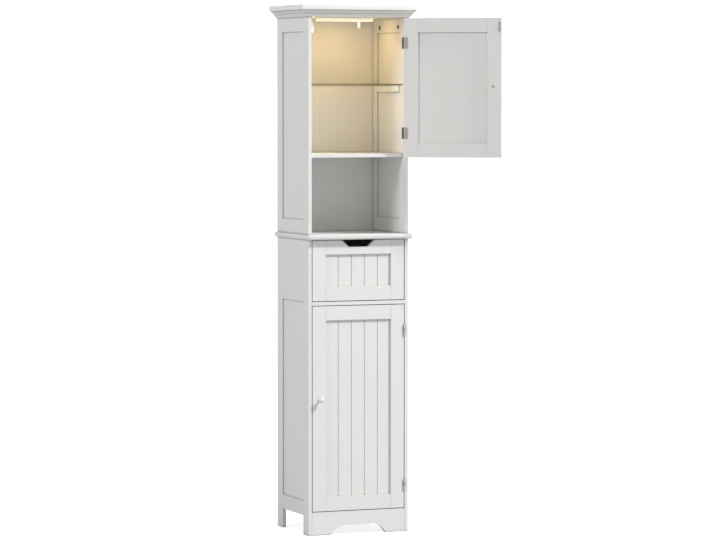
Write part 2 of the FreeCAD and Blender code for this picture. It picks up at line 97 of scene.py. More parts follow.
def addSoftLight(name, settings):
    direction = Vector(settings["toward"]).normalized()
    place = Vector(lightRig["aim"]) + direction * settings["distance"]
    bpy.ops.object.light_add(type="AREA", location=place)
    lamp = bpy.context.object
    lamp.name = name
    lamp.rotation_euler = direction.to_track_quat("Z", "Y").to_euler()
    lamp.data.shape = "DISK"
    lamp.data.size = settings["size"]
    lamp.data.energy = settings["power"]


def shapeFloor():
    bpy.ops.object.select_all(action="DESELECT")
    bpy.ops.mesh.primitive_circle_add(
        vertices=studio["floorSides"], radius=studio["floorRadius"], fill_type="NGON"
    )
    floor = bpy.context.object
    floor.name = "studioFloor"
    bpy.ops.object.mode_set(mode="EDIT")
    bpy.ops.mesh.select_mode(type="EDGE")
    bpy.ops.mesh.select_all(action="SELECT")
    bpy.ops.mesh.region_to_loop()
    bpy.ops.mesh.extrude_edges_move(TRANSFORM_OT_translate={"value": (0, 0, studio["rimHeight"])})
    mesh = bmesh.from_edit_mesh(floor.data)
    for edge in mesh.edges:
        edge.select_set(all(abs(v.co.z) < tolerance for v in edge.verts))
    bmesh.update_edit_mesh(floor.data)
    bpy.ops.mesh.bevel(offset=studio["rimRound"], segments=studio["rimSteps"])
    bpy.ops.mesh.select_all(action="SELECT")
    bpy.ops.mesh.normals_make_consistent(inside=True)
    bpy.ops.object.mode_set(mode="OBJECT")
    bpy.ops.object.shade_smooth()
    bpy.ops.object.transform_apply()
    return floor


def addNode(tree, kind, **settings):
    node = tree.nodes.new(kind)
    for name, value in settings.items():
        setattr(node, name, value)
    return node


def addMath(tree, operation, first, second=None):
    node = addNode(tree, "ShaderNodeMath", operation=operation)
    for place, value in enumerate((first, second)):
        if isinstance(value, (int, float)):
            node.inputs[place].default_value = value
        elif value is not None:
            tree.links.new(value, node.inputs[place])
    return node.outputs[0]


def newFinish(name, roughness, **constants):
    material = bpy.data.materials.new(name)
    material.use_nodes = True
    surface = material.node_tree.nodes["Principled BSDF"]
    surface.inputs["Roughness"].default_value = roughness
    for label, value in constants.items():
        surface.inputs[label].default_value = value
    return material, material.node_tree, surface


def blendGlow(tree, far, ends):
    # the paper's glow at the share far of the way between its ends
    near, away = ends
    node = addNode(tree, "ShaderNodeMath", operation="MULTIPLY_ADD")
    node.inputs[1].default_value = away - near
    node.inputs[2].default_value = near
    tree.links.new(far, node.inputs[0])
    return node.outputs[0]


def mixPaper():
    # white paper that brightens away from the object
    paper, tree, surface = newFinish("studioPaper", studio["roughness"])
    surface.inputs["Base Color"].default_value = (studio["tone"],) * 3 + (1,)
    surface.inputs["Specular IOR Level"].default_value = studio["specular"]
    surface.inputs["Emission Color"].default_value = (1, 1, 1, 1)
    place = addNode(tree, "ShaderNodeTexCoord")
    reach = addNode(tree, "ShaderNodeVectorMath", operation="LENGTH")
    tree.links.new(place.outputs["Object"], reach.inputs[0])
    far = addNode(tree, "ShaderNodeMapRange")
    far.inputs["From Min"].default_value, far.inputs["From Max"].default_value = studio["spread"]
    tree.links.new(reach.outputs["Value"], far.inputs["Value"])
    lit, seen = [blendGlow(tree, far.outputs["Result"], studio[ends]) for ends in ("glow", "seenGlow")]
    rays = addNode(tree, "ShaderNodeLightPath")
    shown = addMath(tree, "MULTIPLY", rays.outputs["Is Camera Ray"], seen)
    tree.links.new(addMath(tree, "ADD", lit, shown), surface.inputs["Emission Strength"])
    return paper


def addStudio():
    floor = shapeFloor()
    floor.data.materials.append(mixPaper())
    world = bpy.data.worlds.new("studioSky")
    bpy.context.scene.world = world
    world.use_nodes = True
    background = world.node_tree.nodes["Background"]
    background.inputs["Color"].default_value = (1, 1, 1, 1)
    background.inputs["Strength"].default_value = lightRig["sky"]
    bpy.context.scene.view_settings.view_transform = "Standard"


addCamera()
addStudio()
addSoftLight("keyLight", lightRig["key"])
addSoftLight("fillLight", lightRig["fill"])
print("camera, floor and lights are set")


# Shader groups that several finishes share

def newGroup(name, inputs, outputs):
    tree = bpy.data.node_groups.new(name, "ShaderNodeTree")
    for label, kind, value in inputs:
        socket = tree.interface.new_socket(label, in_out="INPUT", socket_type=kind)
        socket.default_value = value
    for label, kind in outputs:
        tree.interface.new_socket(label, in_out="OUTPUT", socket_type=kind)
    return tree, tree.nodes.new("NodeGroupInput"), tree.nodes.new("NodeGroupOutput")


def addNoise(tree, vector, scale, detail=2.0, roughness=0.5):
    node = addNode(tree, "ShaderNodeTexNoise")
    tree.links.new(vector, node.inputs["Vector"])
    if isinstance(scale, (int, float)):
        node.inputs["Scale"].default_value = scale
    else:
        tree.links.new(scale, node.inputs["Scale"])
    node.inputs["Detail"].default_value = detail
    node.inputs["Roughness"].default_value = roughness
    return node.outputs["Fac"]


edgeShape = {"samples": 6, "patchDetail": 3.0, "rubbed": (0.03, 0.16)}
rollerShape = {
    "stippleDetail": 2.0,
    "stippleShare": 0.35,  # of its height beside that of the waves
    "waveDetail": 1.0,
    "cloud": {"scale": 7.0, "detail": 4.0, "roughness": 0.6},
    "sheen": {"scale": 190.0, "detail": 3.0},
}
grainShape = {"pores": {"detail": 3.0, "roughness": 0.6}, "streakScale": 0.2, "streakDetail": 2.0}
shadeSamples = 6


def buildEdgeGroup():
    # rounded-over normals and a broken mask along the arrises
    inputs = [("Radius", "NodeSocketFloat", 0.0008), ("Patchiness", "NodeSocketFloat", 60.0)]
    outputs = [("Normal", "NodeSocketVector"), ("Rubbed", "NodeSocketFloat")]
    tree, start, end = newGroup("easedArris", inputs, outputs)
    bevel = addNode(tree, "ShaderNodeBevel", samples=edgeShape["samples"])
    tree.links.new(start.outputs["Radius"], bevel.inputs["Radius"])
    geometry = addNode(tree, "ShaderNodeNewGeometry")
    dot = addNode(tree, "ShaderNodeVectorMath", operation="DOT_PRODUCT")
    tree.links.new(bevel.outputs["Normal"], dot.inputs[0])
    tree.links.new(geometry.outputs["Normal"], dot.inputs[1])
    place = addNode(tree, "ShaderNodeTexCoord")
    patches = addNoise(tree, place.outputs["Object"], start.outputs["Patchiness"], edgeShape["patchDetail"])
    turned = addMath(tree, "SUBTRACT", 1.0, dot.outputs["Value"])
    spread = addNode(tree, "ShaderNodeMapRange")
    tree.links.new(addMath(tree, "MULTIPLY", turned, patches), spread.inputs["Value"])
    spread.inputs["From Min"].default_value, spread.inputs["From Max"].default_value = edgeShape["rubbed"]
    tree.links.new(bevel.outputs["Normal"], end.inputs["Normal"])
    tree.links.new(spread.outputs["Result"], end.inputs["Rubbed"])
    return tree


def buildRollerGroup():
    # orange-peel of a rolled lacquer over board, with slow waves under it
    inputs = [("Stipple Scale", "NodeSocketFloat", 900.0), ("Wave Scale", "NodeSocketFloat", 35.0)]
    outputs = [(label, "NodeSocketFloat") for label in ("Height", "Cloud", "Sheen Break")]
    tree, start, end = newGroup("rolledLacquer", inputs, outputs)
    place = addNode(tree, "ShaderNodeTexCoord").outputs["Object"]
    stipple = addNoise(tree, place, start.outputs["Stipple Scale"], rollerShape["stippleDetail"])
    waves = addNoise(tree, place, start.outputs["Wave Scale"], rollerShape["waveDetail"])
    cloud = addNoise(tree, place, **rollerShape["cloud"])
    height = addMath(tree, "ADD", addMath(tree, "MULTIPLY", stipple, rollerShape["stippleShare"]), waves)
    tree.links.new(height, end.inputs["Height"])
    tree.links.new(cloud, end.inputs["Cloud"])
    tree.links.new(addNoise(tree, place, **rollerShape["sheen"]), end.inputs["Sheen Break"])
    return tree


def buildGrainGroup():
    # long fine pores of a printed foil or of brushed metal, stretched along one axis
    inputs = [("Stretch", "NodeSocketVector", (1.0, 1.0, 0.05)), ("Scale", "NodeSocketFloat", 500.0)]
    outputs = [("Height", "NodeSocketFloat"), ("Streak", "NodeSocketFloat")]
    tree, start, end = newGroup("longGrain", inputs, outputs)
    place = addNode(tree, "ShaderNodeTexCoord")
    stretch = addNode(tree, "ShaderNodeVectorMath", operation="MULTIPLY")
    tree.links.new(place.outputs["Object"], stretch.inputs[0])
    tree.links.new(start.outputs["Stretch"], stretch.inputs[1])
    pores = addNoise(tree, stretch.outputs["Vector"], start.outputs["Scale"], **grainShape["pores"])
    tree.links.new(pores, end.inputs["Height"])
    broadScale = addMath(tree, "MULTIPLY", start.outputs["Scale"], grainShape["streakScale"])
    broad = addNoise(tree, stretch.outputs["Vector"], broadScale, grainShape["streakDetail"])
    tree.links.new(broad, end.inputs["Streak"])
    return tree


def buildShadeGroup():
    # painted shade: ambient occlusion darkens the colour in joints, quirks and inner corners, where shade
    # falls
    inputs = [("Reach", "NodeSocketFloat", 0.006), ("Depth", "NodeSocketFloat", 1.0)]
    tree, start, end = newGroup("jointShade", inputs, [("Shade", "NodeSocketFloat")])
    near = addNode(tree, "ShaderNodeAmbientOcclusion", samples=shadeSamples)
    tree.links.new(start.outputs["Reach"], near.inputs["Distance"])
    closed = addMath(tree, "SUBTRACT", 1.0, near.outputs["AO"])
    tree.links.new(addMath(tree, "MULTIPLY", closed, start.outputs["Depth"]), end.inputs["Shade"])
    return tree


easedArris = buildEdgeGroup()
jointShade = buildShadeGroup()
rolledLacquer = buildRollerGroup()
longGrain = buildGrainGroup()


def placeGroup(tree, group, **values):
    node = tree.nodes.new("ShaderNodeGroup")
    node.node_tree = group
    for label, value in values.items():
        node.inputs[label].default_value = value
    return node


def addBlend(tree, factor, first, second):
    mix = addNode(tree, "ShaderNodeMix", data_type="RGBA")
    tree.links.new(factor, mix.inputs["Factor"])
    for label, value in (("A", first), ("B", second)):
        if isinstance(value, tuple):
            mix.inputs[label].default_value = value + (1,)
        else:
            tree.links.new(value, mix.inputs[label])
    return mix.outputs["Result"]


noiseRange = (0.3, 0.7)  # where most of a noise lies


def addRange(tree, value, low=0.0, high=1.0):
    # a noise spread over low to high
    spread = addNode(tree, "ShaderNodeMapRange")
    tree.links.new(value, spread.inputs["Value"])
    spread.inputs["From Min"].default_value, spread.inputs["From Max"].default_value = noiseRange
    spread.inputs["To Min"].default_value = low
    spread.inputs["To Max"].default_value = high
    return spread.outputs["Result"]


def addTones(tree, clouds, settings):
    # the two close tones of a finish, one clouded into the other
    return addBlend(tree, addRange(tree, clouds), settings["colour"], settings["shade"])


def addPaintedShade(tree, surface, joints, colour, settings):
    # the colour with painted shade laid into joints and inner corners
    shaded = addBlend(tree, joints.outputs["Shade"], colour, settings["joint"])
    tree.links.new(shaded, surface.inputs["Base Color"])


def addSheen(tree, surface, clouds, roughness, spread):
    # roughness that varies by the spread below and above its own value
    sheen = addRange(tree, clouds, *[roughness + change for change in spread])
    tree.links.new(sheen, surface.inputs["Roughness"])


def addBump(tree, surface, height, strength, distance, normal):
    bump = addNode(tree, "ShaderNodeBump")
    bump.inputs["Strength"].default_value = strength
    bump.inputs["Distance"].default_value = distance
    tree.links.new(height, bump.inputs["Height"])
    tree.links.new(normal, bump.inputs["Normal"])
    tree.links.new(bump.outputs["Normal"], surface.inputs["Normal"])


lacquerDetail = {
    "patchiness": 70.0,
    "waves": 30.0,
    # the reach of the painted shade in joints and inner corners
    "jointReach": 0.007,
    "sheen": (-0.04, 0.05),
    "relief": 0.0002,
}
foilDetail = {
    "edges": {"Radius": 0.0004, "Patchiness": 90.0},
    "grain": 420.0,
    "wear": 0.3,
    # painted shade in joints and inner corners
    "joints": {"Reach": 0.007, "Depth": 0.8},
    "sheen": (-0.05, 0.05),
    "bump": 0.25,
    "relief": 0.00008,
}
metalDetail = {
    "edges": {"Radius": 0.0002, "Patchiness": 300.0},
    "metallic": 1.0,
    "sheen": (-0.07, 0.08),
    "bump": 0.3,
    "relief": 0.00003,
}
plasticDetail = {
    "edges": {"Radius": 0.0004, "Patchiness": 150.0},
    "waves": 120.0,
    "wear": 0.25,
    "sheen": (-0.04, 0.05),
    "relief": 0.00006,
}
glowRibs = {"scale": 140.0, "detail": 2.0}
glassDetail = {
    "roughness": 0.02,
    "smears": {"scale": 18.0, "detail": 4.0, "roughness": 0.7},
    "smearSheen": (0.0, 0.05),
    "letThrough": 0.9,
}


def lacquerFinish(name, settings):
    material, tree, surface = newFinish(name, settings["roughness"])
    edges = placeGroup(tree, easedArris, Radius=settings["arris"], Patchiness=lacquerDetail["patchiness"])
    scales = {"Stipple Scale": settings["stipple"], "Wave Scale": lacquerDetail["waves"]}
    lacquer = placeGroup(tree, rolledLacquer, **scales)
    body = addTones(tree, lacquer.outputs["Cloud"], settings)
    worn = addMath(tree, "MULTIPLY", edges.outputs["Rubbed"], settings["wear"])
    # painted shade in joints and inner corners
    joints = placeGroup(tree, jointShade, Reach=lacquerDetail["jointReach"], Depth=settings["jointDepth"])
    addPaintedShade(tree, surface, joints, addBlend(tree, worn, body, settings["rubbed"]), settings)
    addSheen(tree, surface, lacquer.outputs["Sheen Break"], settings["roughness"], lacquerDetail["sheen"])
    relief = lacquerDetail["relief"]
    addBump(tree, surface, lacquer.outputs["Height"], settings["bump"], relief, edges.outputs["Normal"])
    return material


def foilFinish(name, settings):
    material, tree, surface = newFinish(name, settings["roughness"])
    grain = placeGroup(tree, longGrain, Stretch=settings["stretch"], Scale=foilDetail["grain"])
    edges = placeGroup(tree, easedArris, **foilDetail["edges"])
    body = addTones(tree, grain.outputs["Streak"], settings)
    worn = addMath(tree, "MULTIPLY", edges.outputs["Rubbed"], foilDetail["wear"])
    # painted shade in joints and inner corners
    joints = placeGroup(tree, jointShade, **foilDetail["joints"])
    addPaintedShade(tree, surface, joints, addBlend(tree, worn, body, settings["rubbed"]), settings)
    addSheen(tree, surface, grain.outputs["Height"], settings["roughness"], foilDetail["sheen"])
    bump, relief = foilDetail["bump"], foilDetail["relief"]
    addBump(tree, surface, grain.outputs["Height"], bump, relief, edges.outputs["Normal"])
    return material


def metalFinish(name, settings):
    metallic = settings.get("metallic", metalDetail["metallic"])
    material, tree, surface = newFinish(name, settings["roughness"], Metallic=metallic)
    grain = placeGroup(tree, longGrain, Stretch=settings["stretch"], Scale=settings["scale"])
    edges = placeGroup(tree, easedArris, **metalDetail["edges"])
    body = addTones(tree, grain.outputs["Streak"], settings)
    rubbed = addBlend(tree, edges.outputs["Rubbed"], body, settings["rubbed"])
    tree.links.new(rubbed, surface.inputs["Base Color"])
    addSheen(tree, surface, grain.outputs["Height"], settings["roughness"], metalDetail["sheen"])
    bump, relief = metalDetail["bump"], metalDetail["relief"]
    addBump(tree, surface, grain.outputs["Height"], bump, relief, edges.outputs["Normal"])
    return material


def plasticFinish(name, settings):
    material, tree, surface = newFinish(name, settings["roughness"], **settings.get("sockets", {}))
    scales = {"Stipple Scale": settings["stipple"], "Wave Scale": plasticDetail["waves"]}
    lacquer = placeGroup(tree, rolledLacquer, **scales)
    edges = placeGroup(tree, easedArris, **plasticDetail["edges"])
    body = addTones(tree, lacquer.outputs["Cloud"], settings)
    worn = addMath(tree, "MULTIPLY", edges.outputs["Rubbed"], plasticDetail["wear"])
    tree.links.new(addBlend(tree, worn, body, settings["shade"]), surface.inputs["Base Color"])
    addSheen(tree, surface, lacquer.outputs["Sheen Break"], settings["roughness"], plasticDetail["sheen"])
    relief = plasticDetail["relief"]
    addBump(tree, surface, lacquer.outputs["Height"], settings["bump"], relief, edges.outputs["Normal"])
    return material


def litFinish(name, settings):
    # plastic given an emission glow: on the lamp lens this is the lamp's own light; on the catch and the
    # switch tab it is painted light, standing in for the lamp's light falling on them
    material = plasticFinish(name, settings)
    tree = material.node_tree
    surface = tree.nodes["Principled BSDF"]
    place = addNode(tree, "ShaderNodeTexCoord")
    ribs = addNoise(tree, place.outputs["Object"], **glowRibs)
    glow = addBlend(tree, addRange(tree, ribs), settings["glow"], settings["glowDeep"])
    tree.links.new(glow, surface.inputs["Emission Color"])
    surface.inputs["Emission Strength"].default_value = settings["strength"]
    return material


def glassFinish(name, settings):
    material, tree, surface = newFinish(name, glassDetail["roughness"], **settings["sockets"])
    place = addNode(tree, "ShaderNodeTexCoord")
    smears = addNoise(tree, place.outputs["Object"], **glassDetail["smears"])
    tones = addBlend(tree, smears, settings["colour"], settings["shade"])
    tree.links.new(tones, surface.inputs["Base Color"])
    tree.links.new(addRange(tree, smears, *glassDetail["smearSheen"]), surface.inputs["Roughness"])
    rays = addNode(tree, "ShaderNodeLightPath")  # most of the lamp's light goes on through the shelf
    through = addMath(tree, "MULTIPLY", rays.outputs["Is Shadow Ray"], glassDetail["letThrough"])
    tree.links.new(addMath(tree, "SUBTRACT", 1.0, through), surface.inputs["Alpha"])
    return material


# Colours and surfaces of each material

paintColours = {
    "colour": (0.83, 0.83, 0.815),
    "shade": (0.815, 0.815, 0.797),
    "rubbed": (0.72, 0.70, 0.66),
    # the dark of the painted shade in joints and inner corners, and how strong it is
    "joint": (0.14, 0.135, 0.125),
    "jointDepth": 0.95,
    "roughness": 0.36,
    "arris": 0.0008,
    "stipple": 900.0,
    "wear": 0.35,
    "bump": 0.18,
}
# painted light: the top cap is a lighter copy of the white paint, standing in for the stronger light on the
# top board
capPaintedLightColours = {**paintColours, "colour": (0.885, 0.885, 0.87), "shade": (0.87, 0.87, 0.855)}
# bead panels take a weaker painted shade in their grooves
beadColours = {**paintColours, "jointDepth": 0.35}
backColours = {
    "colour": (0.81, 0.81, 0.80),
    "shade": (0.80, 0.80, 0.787),
    "rubbed": (0.66, 0.60, 0.50),
    # the dark of the painted shade in joints and inner corners
    "joint": (0.26, 0.24, 0.21),
    "roughness": 0.55,
    "stretch": (1.0, 1.0, 0.04),
}
drawerColours = {
    "colour": (0.80, 0.80, 0.79),
    "shade": (0.77, 0.77, 0.755),
    "rubbed": (0.66, 0.60, 0.50),
    # the dark of the painted shade in joints and inner corners
    "joint": (0.26, 0.24, 0.21),
    "roughness": 0.5,
    "stretch": (1.0, 0.04, 1.0),
}
hingeColours = {
    "colour": (0.56, 0.55, 0.545),
    "shade": (0.48, 0.47, 0.465),
    "rubbed": (0.70, 0.69, 0.67),
    "metallic": 0.7,
    "roughness": 0.34,
    "stretch": (1.0, 1.0, 0.06),
    "scale": 2600.0,
}
barrelColours = {
    **hingeColours,
    "colour": (0.74, 0.74, 0.73),
    "shade": (0.66, 0.66, 0.65),
    "metallic": 0.35,
}
screwColours = {
    "colour": (0.55, 0.55, 0.54),
    "shade": (0.45, 0.45, 0.45),
    "rubbed": (0.68, 0.68, 0.66),
    "roughness": 0.3,
    "stretch": (1.0, 1.0, 1.0),
    "scale": 1800.0,
}
# the frame leaves are coloured near black, far darker than the door leaves of the same steel
leafColours = {
    "colour": (0.035, 0.028, 0.02),
    "shade": (0.02, 0.016, 0.012),
    "rubbed": (0.20, 0.17, 0.13),
    "metallic": 0.6,
    "roughness": 0.6,
    "stretch": (1.0, 1.0, 0.06),
    "scale": 2600.0,
}
# the cam discs are coloured near black, as dark as the bored holes look
camColours = {
    "colour": (0.03, 0.022, 0.016),
    "shade": (0.02, 0.014, 0.01),
    "rubbed": (0.20, 0.15, 0.10),
    "metallic": 0.5,
    "roughness": 0.6,
    "stretch": (1.0, 1.0, 1.0),
    "scale": 1200.0,
}
plateColours = {
    "colour": (0.66, 0.66, 0.645),
    "shade": (0.57, 0.57, 0.56),
    "rubbed": (0.74, 0.74, 0.72),
    "roughness": 0.4,
    "stretch": (1.0, 1.0, 0.05),
    "scale": 2200.0,
}
knobColours = {
    "colour": (0.86, 0.86, 0.85),
    "shade": (0.84, 0.84, 0.83),
    "roughness": 0.16,
    "stipple": 500.0,
    "bump": 0.1,
    "sockets": {"Coat Weight": 0.6, "Coat Roughness": 0.06},
}
catchColoursPaintedGlow = {
    "colour": (0.86, 0.86, 0.84),
    "shade": (0.82, 0.82, 0.80),
    "roughness": 0.45,
    "stipple": 2600.0,
    "bump": 0.4,
    # painted light: a glow that stands in for the lamp's light falling on the catch
    "glow": (1.0, 0.94, 0.80),
    "glowDeep": (1.0, 0.90, 0.74),
    "strength": 0.22,
}
tabColoursPaintedGlow = {
    "colour": (0.90, 0.89, 0.86),
    "shade": (0.87, 0.86, 0.82),
    "roughness": 0.35,
    "stipple": 2600.0,
    "bump": 0.3,
    # painted light: a glow that stands in for the lamp's light falling on the switch tab
    "glow": (1.0, 0.96, 0.86),
    "glowDeep": (1.0, 0.93, 0.80),
    "strength": 0.5,
}
lampColours = {
    "colour": (0.84, 0.83, 0.80),
    "shade": (0.80, 0.79, 0.76),
    "roughness": 0.42,
    "stipple": 2600.0,
    "bump": 0.35,
}
lensColours = {
    "colour": (0.80, 0.77, 0.70),
    "shade": (0.77, 0.74, 0.66),
    "roughness": 0.25,
    "stipple": 1200.0,
    "bump": 0.1,
    "glow": (1.0, 0.87, 0.56),
    "glowDeep": (1.0, 0.83, 0.50),
    "strength": 0.6,
}
glassColours = {
    "colour": (0.90, 0.97, 0.95),
    "shade": (0.86, 0.95, 0.92),
    "sockets": {"IOR": 1.5, "Transmission Weight": 1.0},
}

finishes = {
    "white_paint": lacquerFinish("whiteLacquer", paintColours),
    "back_panel": foilFinish("backPanelFoil", backColours),
    "drawer_board": foilFinish("drawerFoil", drawerColours),
    "shelf_glass": glassFinish("clearShelfGlass", glassColours),
    "hinge_steel": metalFinish("satinNickel", hingeColours),
    "screw_steel": metalFinish("zincPlate", screwColours),
    "plate_steel": metalFinish("dullSteel", plateColours),
    "knob": plasticFinish("glossKnob", knobColours),
    # the catch glows with painted light
    "catch_plastic": litFinish("catchPlastic", catchColoursPaintedGlow),
    "lamp_plastic": plasticFinish("lampPlastic", lampColours),
    "lamp_lens": litFinish("opalLens", lensColours),
}
# near-black finish of the frame leaves
nearBlackLeaf = metalFinish("agedLeafSteel", leafColours)
# near-black finish of the cam discs
nearBlackCams = metalFinish("dullCamZinc", camColours)
# the switch tab glows with painted light
tabPaintedGlow = litFinish("translucentTab", tabColoursPaintedGlow)
# painted light on the top cap
capPaintedLight = lacquerFinish("capLacquer", capPaintedLightColours)
beadPaint = lacquerFinish("beadLacquer", beadColours)
barrelSteel = metalFinish("barrelSteel", barrelColours)
ownFinish = {  # nodes whose finish differs from that of their material
    "lamp_switch": tabPaintedGlow,
    "lower_door_panel": beadPaint,
    "upper_door_panel": beadPaint,
    "drawer_front_panel": beadPaint,
}
for part in subparts:
    node = cadNodes[part["node"]]
    for slot in node.material_slots:
        slot.material = ownFinish.get(part["node"], finishes[part["material_slot"]])
print("finishes made and laid on the CAD nodes")


# Helpers for pieces modelled here

hingeLine = {"x": 0.15965, "y": -0.1442, "open": 145.6}  # in metres and degrees
millimetre = 0.001
smoothAngle = 35.0


def pickOnly(*pieces):
    # the first of them becomes the active one
    bpy.ops.object.select_all(action="DESELECT")
    for piece in pieces:
        piece.select_set(True)
        bpy.context.view_layer.objects.active = pieces[0]


def same(first, second):
    return abs(first - second) < tolerance


def selectParts(kind, test):
    mesh = bmesh.from_edit_mesh(bpy.context.object.data)
    parts = getattr(mesh, kind)
    for part in parts:
        part.select_set(False)
    for part in parts:
        if test(part):
            part.select_set(True)
    if kind == "verts":
        mesh.select_flush(True)
    bmesh.update_edit_mesh(bpy.context.object.data)


# the tests of these three take the places of the corners

def selectVertices(test):
    selectParts("verts", lambda vertex: test(vertex.co))


def selectEdges(test):
    selectParts("edges", lambda edge: test(edge.verts[0].co, edge.verts[1].co))


def selectFaces(test):
    selectParts("faces", lambda face: all(test(vertex.co) for vertex in face.verts))


def finishPiece(piece, name, slotName, body, finish=None, angle=smoothAngle):
    pickOnly(piece)
    bpy.ops.object.transform_apply(location=True, rotation=True, scale=True)
    bpy.ops.object.shade_smooth_by_angle(angle=math.radians(angle))
    piece.name = name
    piece.data.name = name
    piece.data.materials.clear()
    piece.data.materials.append(finish or finishes[slotName])
    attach(piece, body)
    return piece


def swingOpen(piece):
    # the upper door rests open, so what rides on it is turned about the hinge line
    line = Matrix.Translation((hingeLine["x"], hingeLine["y"], 0))
    turn = Matrix.Rotation(math.radians(hingeLine["open"]), 4, "Z")
    piece.matrix_world = line @ turn @ line.inverted() @ piece.matrix_world


def startBoard(low, high):
    pickOnly()
    middle = [(a + b) / 2 for a, b in zip(low, high)]
    bpy.ops.mesh.primitive_cube_add(size=1, location=middle, scale=[b - a for a, b in zip(low, high)])
    board = bpy.context.object
    bpy.ops.object.transform_apply(location=True, rotation=True, scale=True)
    bpy.ops.object.mode_set(mode="EDIT")
    bpy.ops.mesh.select_mode(type="EDGE")
    return board


def turnRings(rings, steps):
    # a turned solid from the height and radius of each ring, in mm
    pickOnly()
    height, radius = [v * millimetre for v in rings[0]]
    bpy.ops.mesh.primitive_circle_add(
        vertices=steps, radius=radius, fill_type="NOTHING", location=(0, 0, height)
    )
    solid = bpy.context.object
    bpy.ops.object.transform_apply(location=True, rotation=True, scale=True)
    bpy.ops.object.mode_set(mode="EDIT")
    bpy.ops.mesh.select_mode(type="VERT")
    bpy.ops.mesh.select_all(action="SELECT")
    for (lastRise, lastOut), (rise, out) in zip(rings, rings[1:]):
        lift = (0, 0, (rise - lastRise) * millimetre)
        bpy.ops.mesh.extrude_edges_move(TRANSFORM_OT_translate={"value": lift})
        if out:
            bpy.ops.transform.resize(value=(out / lastOut, out / lastOut, 1))
        else:
            bpy.ops.mesh.merge(type="CENTER")
    if rings[-1][1]:
        bpy.ops.mesh.edge_face_add()
    selectVertices(lambda co: same(co.z, height))
    bpy.ops.mesh.edge_face_add()
    bpy.ops.mesh.select_all(action="SELECT")
    bpy.ops.mesh.normals_make_consistent(inside=False)
    bpy.ops.object.mode_set(mode="OBJECT")
    return solid


def cutAway(piece, cutters):
    # every cutter is used up
    pickOnly(piece)
    for cutter in cutters:
        cut = piece.modifiers.new("cut", "BOOLEAN")
        cut.operation = "DIFFERENCE"
        cut.solver = "EXACT"
        cut.object = cutter
        bpy.ops.object.modifier_apply(modifier=cut.name)
        bpy.data.objects.remove(cutter)


def makeBlock(low, high):
    # corners in mm
    block = startBoard([v * millimetre for v in low], [v * millimetre for v in high])
    bpy.ops.object.mode_set(mode="OBJECT")
    return block


def copyTo(source, place, turn=(0, 0, 0)):
    piece = source.copy()
    piece.data = source.data.copy()
    bpy.context.scene.collection.objects.link(piece)
    piece.rotation_euler = [math.radians(angle) for angle in turn]
    piece.location = [v * millimetre for v in place]
    bpy.context.view_layer.update()
    return piece


def joinPieces(pieces):
    pickOnly(*pieces)
    bpy.ops.object.transform_apply(location=True, rotation=True, scale=True)
    bpy.ops.object.join()
    return pieces[0]


def roundRim(level, rear, radius, segments):
    # every edge round a face of the board, apart from the one at its rear
    selectEdges(
        lambda a, b: same(a.z, level) and same(b.z, level) and not (same(a.y, rear) and same(b.y, rear))
    )
    bpy.ops.mesh.bevel(offset=radius, segments=segments, clamp_overlap=False)


def roundedBoard(name, node, settings, finish=None):
    low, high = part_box(node)
    board = startBoard(low, high)
    selectEdges(lambda a, b: same(a.y, low[1]) and same(b.y, low[1]) and not same(a.z, b.z))
    bpy.ops.mesh.bevel(offset=settings["corner"], segments=settings["cornerSteps"])
    for level, radius in ((low[2], settings["under"]), (high[2], settings["over"])):
        roundRim(level, high[1], radius, settings["edgeSteps"])
    bpy.ops.object.mode_set(mode="OBJECT")
    finishPiece(board, name, "white_paint", "cabinet", finish)
    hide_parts(node)


# Ledge and top board, with their routed edges

ledgeShape = {"corner": 0.008, "cornerSteps": 10, "under": 0.007, "over": 0.0025, "edgeSteps": 7}
topShape = {"corner": 0.002, "cornerSteps": 5, "under": 0.0005, "over": 0.0006, "edgeSteps": 3}
roundedBoard("routedLedge", "ledge", ledgeShape)
# the top board takes the lighter paint, as painted light
roundedBoard("topCap", "top_board", topShape, capPaintedLight)
print("ledge and top board routed")


# Boards with their arrises taken off, so that a fine V shows where two of them meet

easedEdge = {
    "width": 0.0005,
    "angle": 30.0,
    "flat": 1.0,
    "boards": ("apron", "niche_board", "divider_board"),
    "ends": ("_stile", "_stiles", "_rails"),
}
moving = {"upper_door": "upper_door", "lower_door": "lower_door", "drawer_front": "drawer"}


def easeBoard(node, body):
    board = copyTo(cadNodes[node], (0, 0, 0))
    pickOnly(board)
    if board.data.has_custom_normals:
        bpy.ops.mesh.customdata_custom_splitnormals_clear()
    bpy.ops.object.mode_set(mode="EDIT")
    bpy.ops.mesh.select_all(action="SELECT")
    bpy.ops.mesh.remove_doubles(threshold=tolerance)
    bpy.ops.mesh.normals_make_consistent(inside=False)
    bpy.ops.mesh.dissolve_limited(angle_limit=math.radians(easedEdge["flat"]))
    bpy.ops.object.mode_set(mode="OBJECT")
    ease = board.modifiers.new("ease", "BEVEL")
    ease.width = easedEdge["width"]
    ease.segments = 1
    ease.limit_method = "ANGLE"
    ease.angle_limit = math.radians(easedEdge["angle"])
    bpy.ops.object.modifier_apply(modifier=ease.name)
    name = "eased" + "".join(word.capitalize() for word in node.split("_"))
    finishPiece(board, name, "white_paint", body, angle=easedEdge["angle"])
    evened = board.modifiers.new("evened", "WEIGHTED_NORMAL")  # a face stays flat beside its chamfers
    evened.keep_sharp = True
    bpy.ops.object.modifier_apply(modifier=evened.name)
    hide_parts(node)
    print("   eased", node, len(board.data.polygons), "faces")


for part in subparts:
    node = part["node"]
    if node in easedEdge["boards"] or node.endswith(easedEdge["ends"]):
        easeBoard(node, next((body for start, body in moving.items() if node.startswith(start)), "cabinet"))
print("boards eased")


# Cove moulding, cut into its front and side lengths along the mitres

